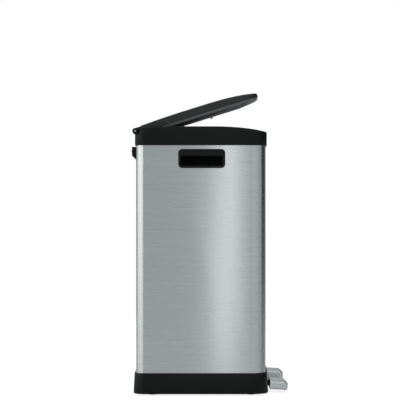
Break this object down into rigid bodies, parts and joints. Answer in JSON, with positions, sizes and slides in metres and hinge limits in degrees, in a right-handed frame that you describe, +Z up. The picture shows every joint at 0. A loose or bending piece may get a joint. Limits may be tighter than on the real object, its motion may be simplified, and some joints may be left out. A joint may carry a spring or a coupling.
{
  "type": "pedal trash can",
  "caption": "Rectangular steel pedal trash can with two compartments, each with a lift-out bucket and a soft-closing lid opened by its own pedal through a lever and push rod.",
  "frame": {"origin": "on the floor under the middle of the steel body", "axes": "+Z up, -Y to the front where the pedals are, +X to the right seen from the front"},
  "size_m": [0.603, 0.3946, 0.7462],
  "materials": {
    "black_plastic": "fine moulded grain",
    "brushed_steel": "horizontal brushing",
    "grey_plastic": "smooth moulded",
    "bright_steel": "polished",
    "zinc_plate": "zinc plated",
    "rubber": "matte"
  },
  "bodies": {
    "body": {"base": "black_plastic", "bucket_left": "grey_plastic", "bucket_right": "grey_plastic", "cover_screw_left_a": "bright_steel", "cover_screw_left_b": "bright_steel", "cover_screw_right_a": "bright_steel", "cover_screw_right_b": "bright_steel", "damper_bracket_left": "zinc_plate", "damper_bracket_right": "zinc_plate", "damper_cylinder_left": "black_plastic", "damper_cylinder_right": "black_plastic", "foot_back_left": "rubber", "foot_back_right": "rubber", "foot_centre": "rubber", "foot_front_left": "rubber", "foot_front_right": "rubber", "grip_bezel_left": "black_plastic", "grip_bezel_right": "black_plastic", "grip_cup_left": "black_plastic", "grip_cup_right": "black_plastic", "hinge_pin_left": "bright_steel", "hinge_pin_right": "bright_steel", "inner_floor": "grey_plastic", "pivot_bracket_left": "zinc_plate", "pivot_bracket_right": "zinc_plate", "pivot_pin_left": "bright_steel", "pivot_pin_right": "bright_steel", "rear_cover_left": "black_plastic", "rear_cover_right": "black_plastic", "steel_body": "brushed_steel", "top_rim": "black_plastic"},
    "left_lid": {"lid_buffer_left_inner": "rubber", "lid_buffer_left_outer": "rubber", "lid_crank_left": "zinc_plate", "lid_frame_left": "black_plastic", "lid_liner_left": "grey_plastic", "lid_panel_left": "brushed_steel"},
    "left_pedal": {"link_pin_left": "bright_steel", "pedal_core_left": "black_plastic", "pedal_cover_left": "brushed_steel", "pedal_lever_left": "zinc_plate"},
    "left_rod": {"damper_piston_left": "bright_steel", "push_rod_left": "zinc_plate"},
    "right_lid": {"lid_buffer_right_inner": "rubber", "lid_buffer_right_outer": "rubber", "lid_crank_right": "zinc_plate", "lid_frame_right": "black_plastic", "lid_liner_right": "grey_plastic", "lid_panel_right": "brushed_steel"},
    "right_pedal": {"link_pin_right": "bright_steel", "pedal_core_right": "black_plastic", "pedal_cover_right": "brushed_steel", "pedal_lever_right": "zinc_plate"},
    "right_rod": {"damper_piston_right": "bright_steel", "push_rod_right": "zinc_plate"}
  },
  "joints": [
    {"name": "left_lid_hinge", "type": "hinge", "parent": "body", "child": "left_lid", "pos_m": [-0.1485, 0.164, 0.652], "axis": [-1, 0, 0], "range_deg": [-17.4, 72.6]},
    {"name": "left_pedal_pivot", "type": "hinge", "parent": "body", "child": "left_pedal", "pos_m": [-0.1485, -0.0948, 0.02248], "axis": [1, 0, 0], "range_deg": [-0.81, 3.39]},
    {"name": "left_rod_slide", "type": "slide", "parent": "body", "child": "left_rod", "axis": [0, 0, 1], "range_m": [-0.00348, 0.0145]},
    {"name": "right_lid_hinge", "type": "hinge", "parent": "body", "child": "right_lid", "pos_m": [0.1485, 0.164, 0.652], "axis": [-1, 0, 0], "range_deg": [0, 90]},
    {"name": "right_pedal_pivot", "type": "hinge", "parent": "body", "child": "right_pedal", "pos_m": [0.1485, -0.0948, 0.02248], "axis": [1, 0, 0], "range_deg": [0, 4.21]},
    {"name": "right_rod_slide", "type": "slide", "parent": "body", "child": "right_rod", "axis": [0, 0, 1], "range_m": [-0.00001, 0.01797]}
  ],
  "couplings": [
    {"joint": "left_pedal_pivot", "follows": "left_lid_hinge", "ratio": 0.046718},
    {"joint": "left_rod_slide", "follows": "left_lid_hinge", "m_per_rad": 0.011434},
    {"joint": "right_pedal_pivot", "follows": "right_lid_hinge", "ratio": 0.046718},
    {"joint": "right_rod_slide", "follows": "right_lid_hinge", "m_per_rad": 0.011434}
  ]
}
